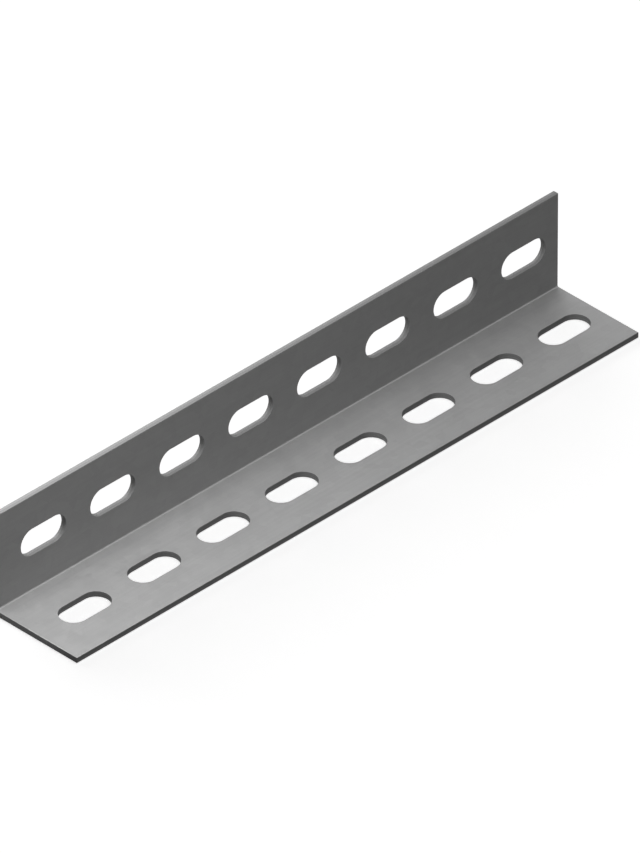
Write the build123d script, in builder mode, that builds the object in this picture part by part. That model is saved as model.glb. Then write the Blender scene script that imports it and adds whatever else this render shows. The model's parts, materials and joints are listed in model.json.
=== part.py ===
"""Perforated steel angle: one strip of sheet steel, punched with a row of slots on each side
and folded lengthwise into two equal legs at a right angle.

Millimetres. +X runs along the bar, the base leg lies on Z = 0 with its toe towards -Y, and the
upright leg stands at the +Y side. The origin is the middle of the footprint.
"""

import os
from math import floor

from build123d import *

# Section
leg_width = 35.0  # back of one leg to the toe of the other, the same both ways
sheet_thickness = 2.0
inside_bend_radius = 0.5

# Bar
bar_length = 229.5
sawn_end_break = 0.15  # chamfer that a deburred saw cut keeps

# Perforation
slot_length = 18.0  # overall, along the bar
slot_width = 9.0  # clears an M8 bolt
slot_pitch = 28.0
first_slot_setback = 19.2  # sawn end at -X to the middle of the first slot
least_end_land = 5.0  # steel that is always left between the last slot and the +X end
rollover_radius = 0.25  # soft rim that punch and slitter leave on the outer faces

# Worked out from the sizes above
outside_bend_radius = inside_bend_radius + sheet_thickness
back_y = leg_width / 2  # outer face of the upright leg
toe_y = back_y - leg_width  # toe of the base leg
bar_start = -bar_length / 2
bend_tangent = sheet_thickness + inside_bend_radius  # where each leg's inner flat begins
slot_gauge = (bend_tangent + leg_width) / 2  # slots run along the middle of the inner flat
room_for_slots = bar_length - first_slot_setback - slot_length / 2 - least_end_land
slot_count = floor(room_for_slots / slot_pitch) + 1
slot_row_middle = bar_start + first_slot_setback + (slot_count - 1) * slot_pitch / 2

# Planes on the two outer faces, each facing into the steel, centred on its row of slots
base_outside = Plane(
    origin=(slot_row_middle, back_y - slot_gauge, 0), x_dir=(1, 0, 0), z_dir=(0, 0, 1)
)
upright_outside = Plane(
    origin=(slot_row_middle, back_y, slot_gauge), x_dir=(1, 0, 0), z_dir=(0, -1, 0)
)

with BuildPart() as steel_angle:
    # The folded strip: its outer contour from toe to toe, one thickness thick
    with BuildSketch(Plane.YZ.offset(bar_start)) as section:
        with BuildLine() as folded_strip:
            FilletPolyline(
                (toe_y, 0), (back_y, 0), (back_y, leg_width), radius=outside_bend_radius
            )
            offset(amount=sheet_thickness, side=Side.LEFT)
        make_face()
    extrude(amount=bar_length)

    # Slit edges: the outer corner of each toe is rolled over, the inner one stays sharp
    long_edges = steel_angle.edges().filter_by(Axis.X)
    base_toe = long_edges.sort_by(Axis.Y).group_by(Axis.Y)[0].sort_by(Axis.Z)[0]
    upright_toe = long_edges.group_by(Axis.Z)[-1].sort_by(Axis.Y)[-1]
    fillet([base_toe, upright_toe], radius=rollover_radius)

    # Sawn ends
    sawn_ends = steel_angle.faces().filter_by(Axis.X)
    chamfer(sawn_ends.edges(), length=sawn_end_break)

    # One row of slots through each leg
    for outer_plane in (base_outside, upright_outside):
        with BuildSketch(outer_plane) as slot_row:
            with GridLocations(slot_pitch, 0, slot_count, 1):
                SlotOverall(slot_length, slot_width)
        extrude(amount=sheet_thickness, mode=Mode.SUBTRACT)

    # Punched rims: rolled over where the punch came in, on the outer faces
    base_under = steel_angle.faces().filter_by(Axis.Z).sort_by(Axis.Z)[0]
    upright_back = steel_angle.faces().filter_by(Axis.Y).sort_by(Axis.Y)[-1]
    rims = [rim for face in (base_under, upright_back) for rim in face.inner_wires()]
    fillet([edge for rim in rims for edge in rim.edges()], radius=rollover_radius)

steel_angle.part.label = "steel_angle"

os.makedirs("parts", exist_ok=True)
export_step(steel_angle.part, "parts/steel_angle.step")
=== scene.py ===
import json
import math

import bpy
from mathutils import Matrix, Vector


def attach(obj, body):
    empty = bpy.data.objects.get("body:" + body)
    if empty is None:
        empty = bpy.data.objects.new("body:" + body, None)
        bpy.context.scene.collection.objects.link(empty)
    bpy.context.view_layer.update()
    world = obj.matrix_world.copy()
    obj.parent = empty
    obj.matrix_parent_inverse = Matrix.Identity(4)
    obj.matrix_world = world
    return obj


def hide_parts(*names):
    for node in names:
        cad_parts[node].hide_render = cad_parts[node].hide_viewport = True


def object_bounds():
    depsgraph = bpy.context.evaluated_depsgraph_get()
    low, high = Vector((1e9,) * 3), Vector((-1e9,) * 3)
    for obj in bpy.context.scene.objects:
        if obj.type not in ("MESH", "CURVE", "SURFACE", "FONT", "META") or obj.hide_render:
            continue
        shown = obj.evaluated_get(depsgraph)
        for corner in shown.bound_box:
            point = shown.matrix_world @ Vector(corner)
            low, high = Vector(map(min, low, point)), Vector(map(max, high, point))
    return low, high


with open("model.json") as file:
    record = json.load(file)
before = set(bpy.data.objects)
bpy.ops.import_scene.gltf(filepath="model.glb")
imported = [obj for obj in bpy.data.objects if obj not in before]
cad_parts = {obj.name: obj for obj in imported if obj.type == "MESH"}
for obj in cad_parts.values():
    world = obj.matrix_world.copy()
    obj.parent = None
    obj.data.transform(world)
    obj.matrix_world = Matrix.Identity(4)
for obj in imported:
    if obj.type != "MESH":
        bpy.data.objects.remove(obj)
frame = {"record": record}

cadLow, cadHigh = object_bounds()
mm = 0.001
quarterTurn = math.pi / 2
scene = bpy.context.scene


# An sRGB hex colour as the linear RGBA that nodes take
def linear(hexColour):
    channels = [int(hexColour[i:i + 2], 16) / 255 for i in (1, 3, 5)]
    return [c / 12.92 if c <= 0.04045 else ((c + 0.055) / 1.055) ** 2.4 for c in channels] + [1.0]


# The links are sockets to join or values to set, and the settings are the node's own choices
def addNode(tree, kind, links=None, **settings):
    node = tree.nodes.new(kind)
    for name, value in settings.items():
        setattr(node, name, value)
    for socket, value in (links or {}).items():
        if isinstance(value, bpy.types.NodeSocket):
            tree.links.new(value, node.inputs[socket])
        else:
            node.inputs[socket].default_value = value
    return node


def newMaterial(name):
    material = bpy.data.materials.new(name)
    material.use_nodes = True
    material.node_tree.nodes.clear()
    return material


# The angle: one strip of sheet, folded along its length, with a row of slots through each leg.
# Only what the frame doesn't give is here.
angleSizes = {
    "sheetThickness": 2.0,  # mm
    "insideBend": 0.5,  # mm, radius inside the fold
    "rollover": 0.25,  # mm, soft rim where the punch and the slitter came in
    "burr": 0.04,  # mm, crisp rim where they came out
    "sawBreak": 0.15,  # mm, edge of a deburred saw cut
    "dieClearance": 0.08,  # mm, how far the torn half of a punched wall leans out
    "bendSteps": 16,
    "slotEndSteps": 24,
    "rimSteps": 4,
}


# The record holds the slots in pairs, so a row has twice as many slots as pairs.
def slotsInFrame():
    pairs = [mount for mount in frame["record"]["mounts"] if mount["kind"] == "bolt_pattern"]
    basePairs = [pair for pair in pairs if round(abs(pair["axis"][2])) == 1]  # those that look up or down
    first = min(basePairs, key=lambda pair: pair["pos_m"][0])
    pitch = first["dims"]["spacing_x_mm"] * mm
    return {
        "Slot Length": first["dims"]["slot_length_mm"] * mm,
        "Slot Width": 2 * first["dims"]["hole_r_mm"] * mm,
        "Slot Pitch": pitch,
        "Slot Count": 2 * len(basePairs),
        "First Slot": first["pos_m"][0] - pitch / 2,
        "Slot Gauge": cadHigh.y - first["pos_m"][1],  # from the heel to the middle of the row
    }


# Places across the bar that several steps share
def placesAcross(tree, size):
    leg, thick = size["Leg Width"], size["Sheet Thickness"]
    back = addNode(tree, "ShaderNodeMath", {0: leg, 1: 0.5}, operation="MULTIPLY").outputs[0]
    return {
        "back": back,
        "toe": addNode(tree, "ShaderNodeMath", {0: back, 1: -1.0}, operation="MULTIPLY").outputs[0],
        "inner": addNode(tree, "ShaderNodeMath", {0: back, 1: thick}, operation="SUBTRACT").outputs[0],
        "midSheet": addNode(tree, "ShaderNodeMath", {0: thick, 1: 0.5}, operation="MULTIPLY").outputs[0],
    }


# Six corners in order from the base toe, with X across and Y up, rounded outside and inside the fold
def foldedSection(tree, size, across):
    leg, thick = size["Leg Width"], size["Sheet Thickness"]
    toe, back, inner = across["toe"], across["back"], across["inner"]
    outerBend = addNode(tree, "ShaderNodeMath", {0: size["Inside Bend"], 1: thick}).outputs[0]
    outline = ((toe, 0.0), (back, 0.0), (back, leg), (inner, leg), (inner, thick), (toe, thick))
    radii = {1: outerBend, 4: size["Inside Bend"]}
    cornerPlace = addNode(tree, "GeometryNodeIndexSwitch", data_type="VECTOR")
    cornerRadius = addNode(tree, "GeometryNodeIndexSwitch", data_type="FLOAT")
    number = addNode(tree, "GeometryNodeInputIndex").outputs[0]
    for switch in (cornerPlace, cornerRadius):
        while len(switch.index_switch_items) < len(outline):
            switch.index_switch_items.new()
        tree.links.new(number, switch.inputs["Index"])
    for i, (sideways, up) in enumerate(outline):
        place = addNode(tree, "ShaderNodeCombineXYZ", {"X": sideways, "Y": up}).outputs[0]
        tree.links.new(place, cornerPlace.inputs[i + 1])
    for i, radius in radii.items():
        tree.links.new(radius, cornerRadius.inputs[i + 1])
    corners = addNode(tree, "GeometryNodeMeshLine", {"Count": len(outline)}).outputs[0]
    placed = addNode(tree, "GeometryNodeSetPosition", {
        "Geometry": corners, "Position": cornerPlace.outputs[0],
    }).outputs[0]
    path = addNode(tree, "GeometryNodeMeshToCurve", {"Mesh": placed}).outputs[0]
    closed = addNode(tree, "GeometryNodeSetSplineCyclic", {"Geometry": path, "Cyclic": True}).outputs[0]
    rounded = addNode(tree, "GeometryNodeFilletCurve", {
        "Curve": closed, "Count": angleSizes["bendSteps"], "Radius": cornerRadius.outputs[0],
    }, mode="POLY").outputs[0]
    return addNode(tree, "GeometryNodeFillCurve", {"Curve": rounded}, mode="NGONS").outputs[0]


# The section drawn out along the bar, with both ends closed
def drawnBar(tree, size, section):
    weldDistance = 0.002 * mm  # joins the doubled corners around the start cap
    along = addNode(tree, "ShaderNodeCombineXYZ", {"Z": size["Bar Length"]}).outputs[0]
    drawn = addNode(tree, "GeometryNodeExtrudeMesh", {"Mesh": section, "Offset": along, "Individual": False})
    startCap = addNode(tree, "GeometryNodeFlipFaces", {"Mesh": section}).outputs[0]
    bothEnds = addNode(tree, "GeometryNodeJoinGeometry", {"Geometry": drawn.outputs["Mesh"]})
    tree.links.new(startCap, bothEnds.inputs["Geometry"])
    welded = addNode(tree, "GeometryNodeMergeByDistance", {
        "Geometry": bothEnds.outputs[0], "Distance": weldDistance,
    }).outputs[0]
    start = addNode(tree, "ShaderNodeMath", {0: size["Bar Length"], 1: -0.5}, operation="MULTIPLY").outputs[0]
    startPlace = addNode(tree, "ShaderNodeCombineXYZ", {"X": start}).outputs[0]
    return addNode(tree, "GeometryNodeTransform", {
        "Geometry": welded, "Translation": startPlace, "Rotation": (quarterTurn, 0.0, quarterTurn),
    }).outputs[0]


# The bar's cut faces are its sawn ends and its two slit toes
def markCutFaces(tree, size, bar, here):
    squareOn = 0.9  # the least part of a face's normal that lies along the way it faces
    leg, thick = size["Leg Width"], size["Sheet Thickness"]
    facing = addNode(tree, "GeometryNodeInputNormal").outputs[0]
    normal = addNode(tree, "ShaderNodeSeparateXYZ", {0: facing}).outputs
    endwise = addNode(tree, "ShaderNodeMath", {0: normal["X"]}, operation="ABSOLUTE").outputs[0]
    sawn = addNode(tree, "ShaderNodeMath", {0: endwise, 1: squareOn}, operation="GREATER_THAN").outputs[0]
    facesFront = addNode(tree, "ShaderNodeMath", {
        0: normal["Y"], 1: -squareOn,
    }, operation="LESS_THAN").outputs[0]
    lowDown = addNode(tree, "ShaderNodeMath", {0: here["Z"], 1: thick}, operation="LESS_THAN").outputs[0]
    baseToe = addNode(tree, "ShaderNodeMath", {0: facesFront, 1: lowDown}, operation="MULTIPLY").outputs[0]
    facesUp = addNode(tree, "ShaderNodeMath", {
        0: normal["Z"], 1: squareOn,
    }, operation="GREATER_THAN").outputs[0]
    nearTop = addNode(tree, "ShaderNodeMath", {0: leg, 1: thick}, operation="SUBTRACT").outputs[0]
    highUp = addNode(tree, "ShaderNodeMath", {0: here["Z"], 1: nearTop}, operation="GREATER_THAN").outputs[0]
    uprightToe = addNode(tree, "ShaderNodeMath", {0: facesUp, 1: highUp}, operation="MULTIPLY").outputs[0]
    slit = addNode(tree, "ShaderNodeMath", {0: baseToe, 1: uprightToe}, operation="MAXIMUM").outputs[0]
    cut = addNode(tree, "ShaderNodeMath", {0: sawn, 1: slit}, operation="MAXIMUM").outputs[0]
    return addNode(tree, "GeometryNodeStoreNamedAttribute", {
        "Geometry": bar, "Name": "cutFace", "Value": cut,
    }, domain="FACE").outputs[0]


# One punch, as a drum parted at its middle to the slot's length. Its flats touch the true round, so
# that its straight sides are as far apart as the slot is wide. Its upper half widens, because sheet
# tears towards the die once the punch is halfway through.
def slotPunch(tree, size, across, here):
    sides = 4 * (angleSizes["slotEndSteps"] // 2)  # a whole number in each quarter
    halfStep = math.pi / sides
    sheetsDeep = 2.0  # so that it stands out of the sheet on both sides
    radius = addNode(tree, "ShaderNodeMath", {
        0: size["Slot Width"], 1: 0.5 / math.cos(halfStep),
    }, operation="MULTIPLY").outputs[0]
    depth = addNode(tree, "ShaderNodeMath", {
        0: size["Sheet Thickness"], 1: sheetsDeep,
    }, operation="MULTIPLY").outputs[0]
    drum = addNode(tree, "GeometryNodeMeshCylinder", {
        "Vertices": sides, "Side Segments": 2, "Radius": radius, "Depth": depth,
    }).outputs["Mesh"]
    turned = addNode(tree, "GeometryNodeTransform", {
        "Geometry": drum, "Rotation": (0.0, 0.0, halfStep),
    }).outputs[0]

    # The drum is deeper than the sheet, so its rim leans out by that many times the clearance
    lean = addNode(tree, "ShaderNodeMath", {
        0: size["Die Clearance"], 1: radius,
    }, operation="DIVIDE").outputs[0]
    widen = addNode(tree, "ShaderNodeMath", {
        0: lean, 1: sheetsDeep, 2: 1.0,
    }, operation="MULTIPLY_ADD").outputs[0]
    widening = addNode(tree, "ShaderNodeCombineXYZ", {"X": widen, "Y": widen, "Z": 1.0}).outputs[0]
    place = addNode(tree, "GeometryNodeInputPosition").outputs[0]
    widened = addNode(tree, "ShaderNodeVectorMath", {0: place, 1: widening}, operation="MULTIPLY").outputs[0]
    upper = addNode(tree, "ShaderNodeMath", {
        0: here["Z"], 1: across["midSheet"],
    }, operation="GREATER_THAN").outputs[0]
    leaning = addNode(tree, "GeometryNodeSetPosition", {
        "Geometry": turned, "Selection": upper, "Position": widened,
    }).outputs[0]

    straight = addNode(tree, "ShaderNodeMath", {
        0: size["Slot Length"], 1: size["Slot Width"],
    }, operation="SUBTRACT").outputs[0]
    side = addNode(tree, "ShaderNodeMath", {0: here["X"]}, operation="SIGN").outputs[0]
    halfSide = addNode(tree, "ShaderNodeMath", {0: side, 1: 0.5}, operation="MULTIPLY").outputs[0]
    shift = addNode(tree, "ShaderNodeMath", {0: straight, 1: halfSide}, operation="MULTIPLY").outputs[0]
    parting = addNode(tree, "ShaderNodeCombineXYZ", {"X": shift}).outputs[0]
    parted = addNode(tree, "GeometryNodeSetPosition", {"Geometry": leaning, "Offset": parting}).outputs[0]
    return addNode(tree, "GeometryNodeStoreNamedAttribute", {
        "Geometry": parted, "Name": "cutFace", "Value": 1.0,
    }, domain="FACE").outputs[0]


# A row of punches along the bar, laid through each leg from its outer face
def punchRows(tree, size, across, punch):
    rowStart = addNode(tree, "ShaderNodeCombineXYZ", {"X": size["First Slot"]}).outputs[0]
    rowStep = addNode(tree, "ShaderNodeCombineXYZ", {"X": size["Slot Pitch"]}).outputs[0]
    slots = addNode(tree, "GeometryNodeMeshLine", {
        "Count": size["Slot Count"], "Start Location": rowStart, "Offset": rowStep,
    }).outputs[0]
    row = addNode(tree, "GeometryNodeInstanceOnPoints", {"Points": slots, "Instance": punch}).outputs[0]
    back, midSheet, gauge = across["back"], across["midSheet"], size["Slot Gauge"]
    baseY = addNode(tree, "ShaderNodeMath", {0: back, 1: gauge}, operation="SUBTRACT").outputs[0]
    uprightY = addNode(tree, "ShaderNodeMath", {0: back, 1: midSheet}, operation="SUBTRACT").outputs[0]
    basePlace = addNode(tree, "ShaderNodeCombineXYZ", {"Y": baseY, "Z": midSheet}).outputs[0]
    uprightPlace = addNode(tree, "ShaderNodeCombineXYZ", {"Y": uprightY, "Z": gauge}).outputs[0]
    baseRow = addNode(tree, "GeometryNodeTransform", {"Geometry": row, "Translation": basePlace}).outputs[0]
    uprightRow = addNode(tree, "GeometryNodeTransform", {
        "Geometry": row, "Translation": uprightPlace, "Rotation": (quarterTurn, 0.0, 0.0),
    }).outputs[0]
    bothRows = addNode(tree, "GeometryNodeJoinGeometry", {"Geometry": baseRow})
    tree.links.new(uprightRow, bothRows.inputs["Geometry"])
    return addNode(tree, "GeometryNodeRealizeInstances", {"Geometry": bothRows.outputs[0]}).outputs[0]


# How far each rim is rounded, for the Bevel. A rim lies between a cut face and a rolled one, so the
# mark averages to a half there. Its depth in the sheet tells the rolled-over side from the burr side.
def weighRims(tree, size, across, pierced, here):
    rimMark, markSlack = 0.5, 0.1
    endSlack = 0.01 * mm  # a rim this near to the end of the bar is the saw's
    mark = addNode(tree, "GeometryNodeInputNamedAttribute", {"Name": "cutFace"}, data_type="FLOAT")
    isRim = addNode(tree, "ShaderNodeMath", {
        0: mark.outputs["Attribute"], 1: rimMark, 2: markSlack,
    }, operation="COMPARE").outputs[0]
    fromBack = addNode(tree, "ShaderNodeMath", {
        0: across["back"], 1: here["Y"],
    }, operation="SUBTRACT").outputs[0]
    depth = addNode(tree, "ShaderNodeMath", {0: here["Z"], 1: fromBack}, operation="MINIMUM").outputs[0]
    isOuter = addNode(tree, "ShaderNodeMath", {
        0: depth, 1: across["midSheet"],
    }, operation="LESS_THAN").outputs[0]
    lengthwise = addNode(tree, "ShaderNodeMath", {0: here["X"]}, operation="ABSOLUTE").outputs[0]
    endPlace = addNode(tree, "ShaderNodeMath", {
        0: size["Bar Length"], 1: 0.5, 2: -endSlack,
    }, operation="MULTIPLY_ADD").outputs[0]
    isEnd = addNode(tree, "ShaderNodeMath", {0: lengthwise, 1: endPlace}, operation="GREATER_THAN").outputs[0]
    punched = addNode(tree, "GeometryNodeSwitch", {
        "Switch": isOuter, "False": size["Burr"], "True": size["Rollover"],
    }, input_type="FLOAT").outputs[0]
    rim = addNode(tree, "GeometryNodeSwitch", {
        "Switch": isEnd, "False": punched, "True": size["Saw Break"],
    }, input_type="FLOAT").outputs[0]
    share = addNode(tree, "ShaderNodeMath", {0: rim, 1: size["Rollover"]}, operation="DIVIDE").outputs[0]
    weight = addNode(tree, "ShaderNodeMath", {0: share, 1: isRim}, operation="MULTIPLY").outputs[0]
    return addNode(tree, "GeometryNodeStoreNamedAttribute", {
        "Geometry": pierced, "Name": "bevel_weight_edge", "Value": weight,
    }, domain="EDGE").outputs[0]


def makeAngleTree(inputs, material):
    tree = bpy.data.node_groups.new("foldedPerforatedAngle", "GeometryNodeTree")
    kinds = {int: "NodeSocketInt", float: "NodeSocketFloat"}
    for name, value in inputs.items():
        tree.interface.new_socket(name, in_out="INPUT", socket_type=kinds[type(value)])
    tree.interface.new_socket("Geometry", in_out="OUTPUT", socket_type="NodeSocketGeometry")
    size = addNode(tree, "NodeGroupInput").outputs
    place = addNode(tree, "GeometryNodeInputPosition").outputs[0]
    here = addNode(tree, "ShaderNodeSeparateXYZ", {0: place}).outputs
    across = placesAcross(tree, size)

    bar = drawnBar(tree, size, foldedSection(tree, size, across))
    marked = markCutFaces(tree, size, bar, here)
    punches = punchRows(tree, size, across, slotPunch(tree, size, across, here))
    pierced = addNode(tree, "GeometryNodeMeshBoolean", {
        "Mesh 1": marked, "Mesh 2": punches,
    }, operation="DIFFERENCE", solver="EXACT").outputs["Mesh"]
    weighed = weighRims(tree, size, across, pierced, here)
    smooth = addNode(tree, "GeometryNodeSetShadeSmooth", {"Geometry": weighed, "Shade Smooth": True})
    whole = addNode(tree, "GeometryNodeRealizeInstances", {"Geometry": smooth.outputs[0]})
    finished = addNode(tree, "GeometryNodeSetMaterial", {"Geometry": whole.outputs[0], "Material": material})
    addNode(tree, "NodeGroupOutput", {"Geometry": finished.outputs[0]})
    return tree


def makeSteelAngle(material):
    a = angleSizes
    inputs = {
        "Bar Length": cadHigh.x - cadLow.x,
        "Leg Width": cadHigh.z - cadLow.z,
        "Sheet Thickness": a["sheetThickness"] * mm,
        "Inside Bend": a["insideBend"] * mm,
        "Rollover": a["rollover"] * mm,
        "Burr": a["burr"] * mm,
        "Saw Break": a["sawBreak"] * mm,
        "Die Clearance": a["dieClearance"] * mm,
        **slotsInFrame(),
    }
    piece = bpy.data.objects.new("steelAngle", bpy.data.meshes.new("steelAngle"))
    scene.collection.objects.link(piece)
    tree = makeAngleTree(inputs, material)
    foldAndPunch = piece.modifiers.new("foldAndPunch", "NODES")
    foldAndPunch.node_group = tree
    for item in tree.interface.items_tree:
        if item.in_out == "INPUT":
            foldAndPunch[item.identifier] = inputs[item.name]
    rims = piece.modifiers.new("rims", "BEVEL")
    rims.limit_method = "WEIGHT"
    rims.offset_type = "OFFSET"
    rims.width = inputs["Rollover"]
    rims.segments = a["rimSteps"]
    rims.use_clamp_overlap = False
    shading = piece.modifiers.new("flatFacesLead", "WEIGHTED_NORMAL")
    shading.keep_sharp = True

    view = bpy.context.evaluated_depsgraph_get()
    mesh = bpy.data.meshes.new_from_object(piece.evaluated_get(view))
    mesh.name = "steelAngle"
    mesh.materials.clear()  # the boolean leaves an empty slot before the steel's
    mesh.materials.append(material)
    piece.modifiers.clear()
    piece.data = mesh
    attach(piece, "root")
    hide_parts("steel_angle")
    print("angle folded and punched:", len(mesh.polygons), "faces")
    return piece


# Galvanised sheet steel: hot-dipped in zinc and rolled smooth, then punched, slit, folded and sawn.
# The zinc skin is an even satin grey, with faint crystals and fine lines along the bar. The cut
# faces are bare steel, a darker grey that is partly the steel's own and partly painted shade for faces
# turned from the light: the half that the tool sheared shines, the half that tore is dull.
galvanised = {
    "zincColour": "#929292",
    # bare steel's own grey, darkened further as painted shade for the cut faces that turn from the light
    "bareSteelAndPaintedShadeColour": "#848484",
    "metallic": 0.4,  # zinc that has dulled in the air is part metal and part oxide to the eye
    "zincRoughness": 0.5,
    "crystalSize": 3.0,  # mm, a sheet that was cooled fast
    "crystalContrast": 0.03,  # part of the colour, either way
    "crystalRoughness": 0.035,
    "rollLineSpacing": 0.9,  # mm, drawn coarser than the real 0.1 mm so that the lines show
    "rollLineLength": 60.0,  # mm
    "rollLineContrast": 0.025,
    "dullPatchSize": 45.0,  # mm, where the zinc has clouded a little
    "dullPatchRoughness": 0.04,
    "grainSize": 0.35,  # mm, drawn coarser than the real 0.05 mm
    "grainHeight": 0.003,  # mm
    "shearedShare": 0.5,  # of the thickness, before the sheet tore
    "shearLineSoftness": 0.02,  # of the thickness, either side of the line between the two
    "tearWander": 0.14,  # of the thickness, how far that line wanders
    "tearSize": 0.5,  # mm
    "tearHeight": 0.03,  # mm
    "shearedRoughness": 0.48,
    "tornRoughness": 0.68,
    "tornShade": 0.82,
    "sawnDepth": 0.1,  # mm, how near to the bar's end a cut face is the saw's
    "sawLineSpacing": 0.45,  # mm, a fine-toothed cold saw
    "sawLineHeight": 0.012,  # mm
}


def makeGalvanisedSteel():
    g = galvanised
    material = newMaterial("galvanisedSheetSteel")
    tree = material.node_tree
    place = addNode(tree, "ShaderNodeTexCoord").outputs["Object"]
    axes = addNode(tree, "ShaderNodeSeparateXYZ", {0: place}).outputs

    # Patterns, each scaled from its size in millimetres. Nearly all of a noise's values lie between
    # the two below.
    noiseLow, noiseHigh = 0.3, 0.7
    crystals = addNode(tree, "ShaderNodeTexVoronoi", {"Vector": place, "Scale": 1 / (g["crystalSize"] * mm)})
    crystal = addNode(tree, "ShaderNodeSeparateColor", {0: crystals.outputs["Color"]}).outputs
    lineScale = 1 / (g["rollLineSpacing"] * mm)
    alongBar = addNode(tree, "ShaderNodeMapping", {
        "Vector": place, "Scale": (1 / (g["rollLineLength"] * mm), lineScale, lineScale),
    }).outputs[0]
    rollLines = addNode(tree, "ShaderNodeTexNoise", {"Vector": alongBar, "Scale": 1.0, "Detail": 3.0})
    patternSizes = (g["dullPatchSize"], g["grainSize"], g["tearSize"])
    cloudScale, grainScale, tearScale = (1 / (size * mm) for size in patternSizes)
    clouds = addNode(tree, "ShaderNodeTexNoise", {"Vector": place, "Scale": cloudScale}).outputs[0]
    grain = addNode(tree, "ShaderNodeTexNoise", {"Vector": place, "Scale": grainScale}).outputs[0]
    tearing = addNode(tree, "ShaderNodeTexNoise", {"Vector": place, "Scale": tearScale}).outputs[0]
    sawStroke = addNode(tree, "ShaderNodeMapping", {
        "Vector": place, "Scale": (0.0, 1 / (g["sawLineSpacing"] * mm), 0.0),
    }).outputs[0]
    sawLines = addNode(tree, "ShaderNodeTexNoise", {"Vector": sawStroke, "Scale": 1.0, "Detail": 2.0})

    # Zinc skin
    crystalShade = addNode(tree, "ShaderNodeMapRange", {
        "Value": crystal[0], "To Min": 1 - g["crystalContrast"], "To Max": 1 + g["crystalContrast"],
    }).outputs[0]
    lineShade = addNode(tree, "ShaderNodeMapRange", {
        "Value": rollLines.outputs[0], "From Min": noiseLow, "From Max": noiseHigh,
        "To Min": 1 - g["rollLineContrast"], "To Max": 1 + g["rollLineContrast"],
    }).outputs[0]
    zincShade = addNode(tree, "ShaderNodeMath", {
        0: crystalShade, 1: lineShade,
    }, operation="MULTIPLY").outputs[0]
    zincColour = addNode(tree, "ShaderNodeVectorMath", {
        0: linear(g["zincColour"])[:3], "Scale": zincShade,
    }, operation="SCALE").outputs[0]
    crystalRough = addNode(tree, "ShaderNodeMapRange", {
        "Value": crystal[1],
        "To Min": g["zincRoughness"] - g["crystalRoughness"],
        "To Max": g["zincRoughness"] + g["crystalRoughness"],
    }).outputs[0]
    cloudRough = addNode(tree, "ShaderNodeMapRange", {
        "Value": clouds, "From Min": noiseLow, "From Max": noiseHigh,
        "To Min": -g["dullPatchRoughness"], "To Max": g["dullPatchRoughness"],
    }).outputs[0]
    zincRough = addNode(tree, "ShaderNodeMath", {0: crystalRough, 1: cloudRough}).outputs[0]

    # Cut faces: how far into the sheet, from the side that the tool came in
    cut = addNode(tree, "ShaderNodeAttribute", attribute_name="cutFace").outputs["Fac"]
    fromBack = addNode(tree, "ShaderNodeMath", {0: cadHigh.y, 1: axes["Y"]}, operation="SUBTRACT").outputs[0]
    depth = addNode(tree, "ShaderNodeMath", {0: axes["Z"], 1: fromBack}, operation="MINIMUM").outputs[0]
    thickness = angleSizes["sheetThickness"] * mm
    depthShare = addNode(tree, "ShaderNodeMath", {0: depth, 1: thickness}, operation="DIVIDE").outputs[0]
    noiseMiddle = (noiseLow + noiseHigh) / 2
    wander = addNode(tree, "ShaderNodeMath", {0: tearing, 1: -noiseMiddle}).outputs[0]
    ragged = addNode(tree, "ShaderNodeMath", {
        0: wander, 1: g["tearWander"], 2: depthShare,
    }, operation="MULTIPLY_ADD").outputs[0]
    pastShear = addNode(tree, "ShaderNodeMapRange", {
        "Value": ragged,
        "From Min": g["shearedShare"] - g["shearLineSoftness"],
        "From Max": g["shearedShare"] + g["shearLineSoftness"],
    }).outputs[0]
    lengthwise = addNode(tree, "ShaderNodeMath", {0: axes["X"]}, operation="ABSOLUTE").outputs[0]
    sawn = addNode(tree, "ShaderNodeMath", {
        0: lengthwise, 1: cadHigh.x - g["sawnDepth"] * mm,
    }, operation="GREATER_THAN").outputs[0]
    notSawn = addNode(tree, "ShaderNodeMath", {0: 1.0, 1: sawn}, operation="SUBTRACT").outputs[0]
    torn = addNode(tree, "ShaderNodeMath", {0: pastShear, 1: notSawn}, operation="MULTIPLY").outputs[0]
    tornShade = addNode(tree, "ShaderNodeMapRange", {
        "Value": torn, "To Min": 1.0, "To Max": g["tornShade"],
    }).outputs[0]
    # Cut faces: bare steel grey with painted shade in it, and the torn half duller
    cutAndPaintedShadeColour = addNode(tree, "ShaderNodeVectorMath", {
        0: linear(g["bareSteelAndPaintedShadeColour"])[:3], "Scale": tornShade,
    }, operation="SCALE").outputs[0]
    cutRough = addNode(tree, "ShaderNodeMapRange", {
        "Value": torn, "To Min": g["shearedRoughness"], "To Max": g["tornRoughness"],
    }).outputs[0]

    # Heights in millimetres: grain on the skin, and tears or saw lines on the cut faces
    grainHeight = addNode(tree, "ShaderNodeMath", {
        0: grain, 1: g["grainHeight"],
    }, operation="MULTIPLY").outputs[0]
    tearDepth = addNode(tree, "ShaderNodeMath", {
        0: torn, 1: g["tearHeight"],
    }, operation="MULTIPLY").outputs[0]
    tears = addNode(tree, "ShaderNodeMath", {0: tearing, 1: tearDepth}, operation="MULTIPLY").outputs[0]
    sawDepth = addNode(tree, "ShaderNodeMath", {
        0: sawn, 1: g["sawLineHeight"],
    }, operation="MULTIPLY").outputs[0]
    cutHeight = addNode(tree, "ShaderNodeMath", {
        0: sawLines.outputs[0], 1: sawDepth, 2: tears,
    }, operation="MULTIPLY_ADD").outputs[0]

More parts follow.
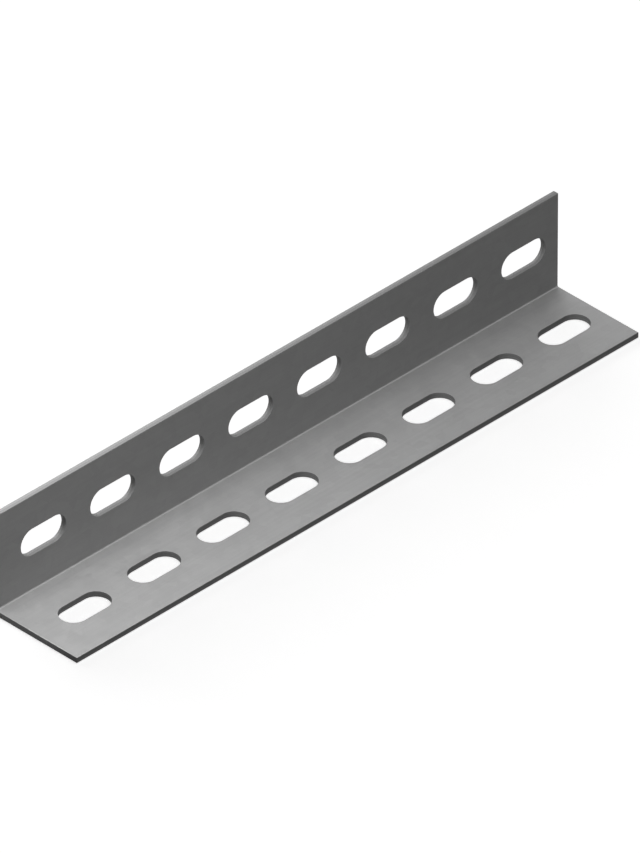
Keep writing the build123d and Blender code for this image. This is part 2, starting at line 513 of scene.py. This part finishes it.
    # Sockets 2 and 3 mix numbers, 6 and 7 colours
    colour = addNode(tree, "ShaderNodeMix", {
        "Factor": cut, 6: zincColour, 7: cutAndPaintedShadeColour,
    }, data_type="RGBA").outputs[2]
    rough = addNode(tree, "ShaderNodeMix", {"Factor": cut, 2: zincRough, 3: cutRough}).outputs[0]
    height = addNode(tree, "ShaderNodeMix", {"Factor": cut, 2: grainHeight, 3: cutHeight}).outputs[0]
    bump = addNode(tree, "ShaderNodeBump", {"Height": height, "Distance": mm}).outputs[0]
    surface = addNode(tree, "ShaderNodeBsdfPrincipled", {
        "Base Color": colour, "Metallic": g["metallic"], "Roughness": rough, "Normal": bump,
    }).outputs[0]
    addNode(tree, "ShaderNodeOutputMaterial", {"Surface": surface})
    print("galvanised steel mixed:", len(tree.nodes), "nodes")
    return material


# Studio: a white room, seen as white by the camera and by the metal, with soft light from above and
# behind. A lamp over the near end makes the sheen that fades along the bar. It lights the steel
# alone, so that the floor stays even and keeps the soft shadow of the other two.
studio = {
    "skyLight": 0.03,  # what the white room adds to the light
    "floorBounce": "#707070",  # the floor as the light finds it
    "floorGlow": 0.71,  # brings the lit floor up to white
    "metalSeesFloor": 0.3,  # the floor is as bright as this in the metal
    "topLight": 0.6,
    "topFrom": (0.3, -0.18, 1.0),
    "backLight": 1.3,
    "backFrom": (0.2, 1.0, 0.3),
    "sunSoftness": 50.0,  # degrees
    "sheenPower": 0.9,  # watts
    "sheenLength": 160.0,  # mm, along the bar
    "sheenWidth": 40.0,  # mm, narrow, so that it only grazes the upright leg
    "sheenPlace": (-125.0, -12.0, 260.0),  # mm
    "sheenAim": (-85.0, -5.0, 0.0),  # mm
    "floorHalfSize": 6.0,  # m
}


def makeWorld():
    world = bpy.data.worlds.new("whiteRoom")
    scene.world = world
    world.use_nodes = True
    tree = world.node_tree
    tree.nodes.clear()
    ray = addNode(tree, "ShaderNodeLightPath").outputs
    inMetal = addNode(tree, "ShaderNodeMath", {
        0: ray["Is Glossy Ray"], 1: ray["Is Transmission Ray"],
    }, operation="MAXIMUM").outputs[0]
    seen = addNode(tree, "ShaderNodeMath", {
        0: ray["Is Camera Ray"], 1: inMetal,
    }, operation="MAXIMUM").outputs[0]
    level = addNode(tree, "ShaderNodeMapRange", {
        "Value": seen, "To Min": studio["skyLight"], "To Max": 1.0,
    }).outputs[0]
    room = addNode(tree, "ShaderNodeBackground", {"Color": (1, 1, 1, 1), "Strength": level}).outputs[0]
    addNode(tree, "ShaderNodeOutputWorld", {"Surface": room})


def makeFloor():
    material = newMaterial("paleFloor")
    tree = material.node_tree
    ray = addNode(tree, "ShaderNodeLightPath").outputs
    plain = addNode(tree, "ShaderNodeBsdfDiffuse", {"Color": linear(studio["floorBounce"])}).outputs[0]
    lit = addNode(tree, "ShaderNodeBsdfDiffuse", {"Color": (1, 1, 1, 1)}).outputs[0]
    glow = addNode(tree, "ShaderNodeEmission", {"Strength": studio["floorGlow"]}).outputs[0]
    white = addNode(tree, "ShaderNodeAddShader", {0: lit, 1: glow}).outputs[0]
    inMetal = addNode(tree, "ShaderNodeMath", {
        0: ray["Is Glossy Ray"], 1: ray["Is Transmission Ray"],
    }, operation="MAXIMUM").outputs[0]
    inMetalToo = addNode(tree, "ShaderNodeMath", {
        0: inMetal, 1: studio["metalSeesFloor"],
    }, operation="MULTIPLY").outputs[0]
    seen = addNode(tree, "ShaderNodeMath", {
        0: ray["Is Camera Ray"], 1: inMetalToo,
    }, operation="MAXIMUM").outputs[0]
    surface = addNode(tree, "ShaderNodeMixShader", {0: seen, 1: plain, 2: white}).outputs[0]
    addNode(tree, "ShaderNodeOutputMaterial", {"Surface": surface})
    half = studio["floorHalfSize"]
    corners = [(x * half, y * half, cadLow.z) for x, y in ((-1, -1), (1, -1), (1, 1), (-1, 1))]
    mesh = bpy.data.meshes.new("floor")
    mesh.from_pydata(corners, [], [(0, 1, 2, 3)])
    mesh.materials.append(material)
    floor = bpy.data.objects.new("floor", mesh)
    scene.collection.objects.link(floor)


def addLamp(name, kind, energy, place, aim, **settings):
    light = bpy.data.lights.new(name, kind)
    light.energy = energy
    for setting, value in settings.items():
        setattr(light, setting, value)
    lamp = bpy.data.objects.new(name, light)
    lamp.location = place
    lamp.rotation_mode = "QUATERNION"
    lamp.rotation_quaternion = (place - aim).to_track_quat("Z", "Y")
    scene.collection.objects.link(lamp)
    return lamp


def makeLights(piece):
    centre = (cadLow + cadHigh) / 2
    softness = math.radians(studio["sunSoftness"])
    topPlace, backPlace = centre + Vector(studio["topFrom"]), centre + Vector(studio["backFrom"])
    addLamp("topLight", "SUN", studio["topLight"], topPlace, centre, angle=softness)
    addLamp("backLight", "SUN", studio["backLight"], backPlace, centre, angle=softness)
    sheenPlace, sheenAim = Vector(studio["sheenPlace"]) * mm, Vector(studio["sheenAim"]) * mm
    sheen = addLamp("sheenOverNearEnd", "AREA", studio["sheenPower"], sheenPlace, sheenAim, shape="RECTANGLE",
                    size=studio["sheenLength"] * mm, size_y=studio["sheenWidth"] * mm)
    litBySheen = bpy.data.collections.new("litBySheen")
    litBySheen.objects.link(piece)
    sheen.light_linking.receiver_collection = litBySheen


# The view: isometric, with the near end at the lower left
shot = {
    "turn": -45.0,  # degrees, round from the front
    "rise": math.degrees(math.atan(math.sqrt(0.5))),
    "aim": (17.6, 16.43, 0.0),  # mm, what stands in the middle of the picture
    "frameWidth": 185.45,  # mm across the picture at the aim
    "halfAngle": 0.65,  # degrees, a very long lens, so that parallel edges stay parallel
    "pictureSize": (640, 853),
    "sensorSize": 36.0,  # mm, along the longer side of the picture
    "clipEnd": 50.0,  # m
}


def makeCamera():
    width, tall = shot["pictureSize"]
    spread = math.tan(math.radians(shot["halfAngle"]))
    turn, rise = math.radians(shot["turn"]), math.radians(shot["rise"])
    towardsEye = Vector((math.sin(turn) * math.cos(rise), -math.cos(turn) * math.cos(rise), math.sin(rise)))
    camera = bpy.data.cameras.new("camera")
    camera.sensor_width = shot["sensorSize"]
    camera.lens = camera.sensor_width / 2 / (spread * tall / width)
    camera.clip_end = shot["clipEnd"]
    eye = bpy.data.objects.new("camera", camera)
    eye.location = (Vector(shot["aim"]) + towardsEye * shot["frameWidth"] / 2 / spread) * mm
    eye.rotation_mode = "QUATERNION"
    eye.rotation_quaternion = towardsEye.to_track_quat("Z", "Y")
    scene.collection.objects.link(eye)
    scene.camera = eye


angle = makeSteelAngle(makeGalvanisedSteel())
makeWorld()
makeFloor()
makeLights(angle)
print("studio lit")
makeCamera()
scene.view_settings.view_transform = "Standard"
print("camera placed")
